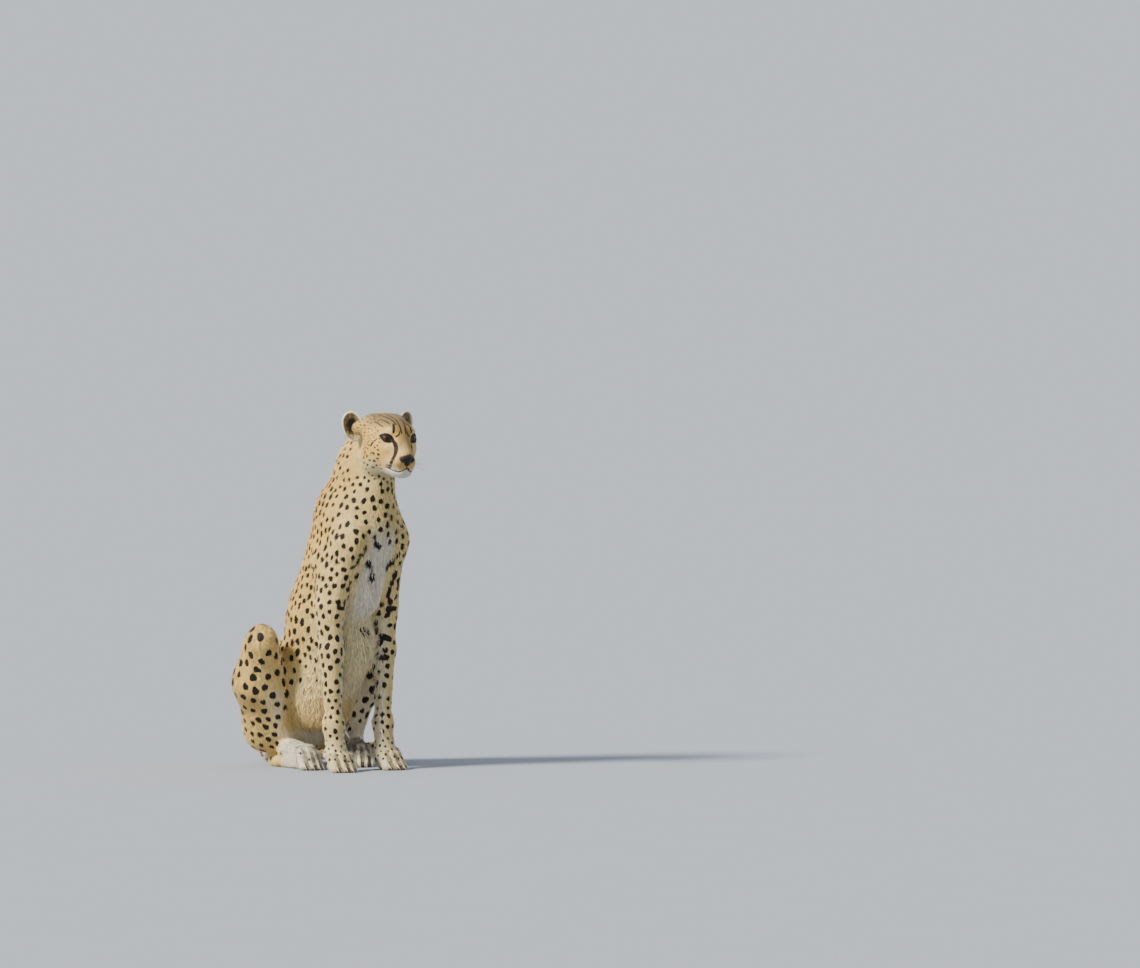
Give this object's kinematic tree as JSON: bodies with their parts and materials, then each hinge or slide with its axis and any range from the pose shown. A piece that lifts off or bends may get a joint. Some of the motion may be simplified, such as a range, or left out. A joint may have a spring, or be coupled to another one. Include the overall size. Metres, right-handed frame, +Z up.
{
  "type": "cheetah",
  "caption": "Life-size sitting cheetah, adult, head turned a little to its right, tail laid round its left side on the floor.",
  "frame": {"origin": "middle of the bounding box, on the floor the animal sits on", "axes": "+Z up, -Y the way the body faces, +X to the animal's left"},
  "size_m": [0.509, 0.7206, 0.8919],
  "materials": {
    "coat": "short tawny coat with black spots, cream below",
    "ear": "short coat, dark back, pale rim",
    "eye": "wet, amber brown",
    "nose": "black, moist",
    "claw": "horn"
  },
  "bodies": {
    "root": {"claw_fore_left_1": "claw", "claw_fore_left_2": "claw", "claw_fore_left_3": "claw", "claw_fore_left_4": "claw", "claw_fore_right_1": "claw", "claw_fore_right_2": "claw", "claw_fore_right_3": "claw", "claw_fore_right_4": "claw", "claw_hind_left_1": "claw", "claw_hind_left_2": "claw", "claw_hind_left_3": "claw", "claw_hind_left_4": "claw", "claw_hind_right_1": "claw", "claw_hind_right_2": "claw", "claw_hind_right_3": "claw", "claw_hind_right_4": "claw", "dewclaw_left": "claw", "dewclaw_right": "claw", "ear_left": "ear", "ear_right": "ear", "eye_left": "eye", "eye_right": "eye", "fore_foot_left": "coat", "fore_foot_right": "coat", "forearm_left": "coat", "forearm_right": "coat", "haunch_left": "coat", "haunch_right": "coat", "head": "coat", "hind_foot_left": "coat", "hind_foot_right": "coat", "neck": "coat", "nose": "nose", "tail_base": "coat", "tail_middle": "coat", "tail_tip": "coat", "trunk": "coat", "upper_arm_left": "coat", "upper_arm_right": "coat"}
  },
  "joints": []
}
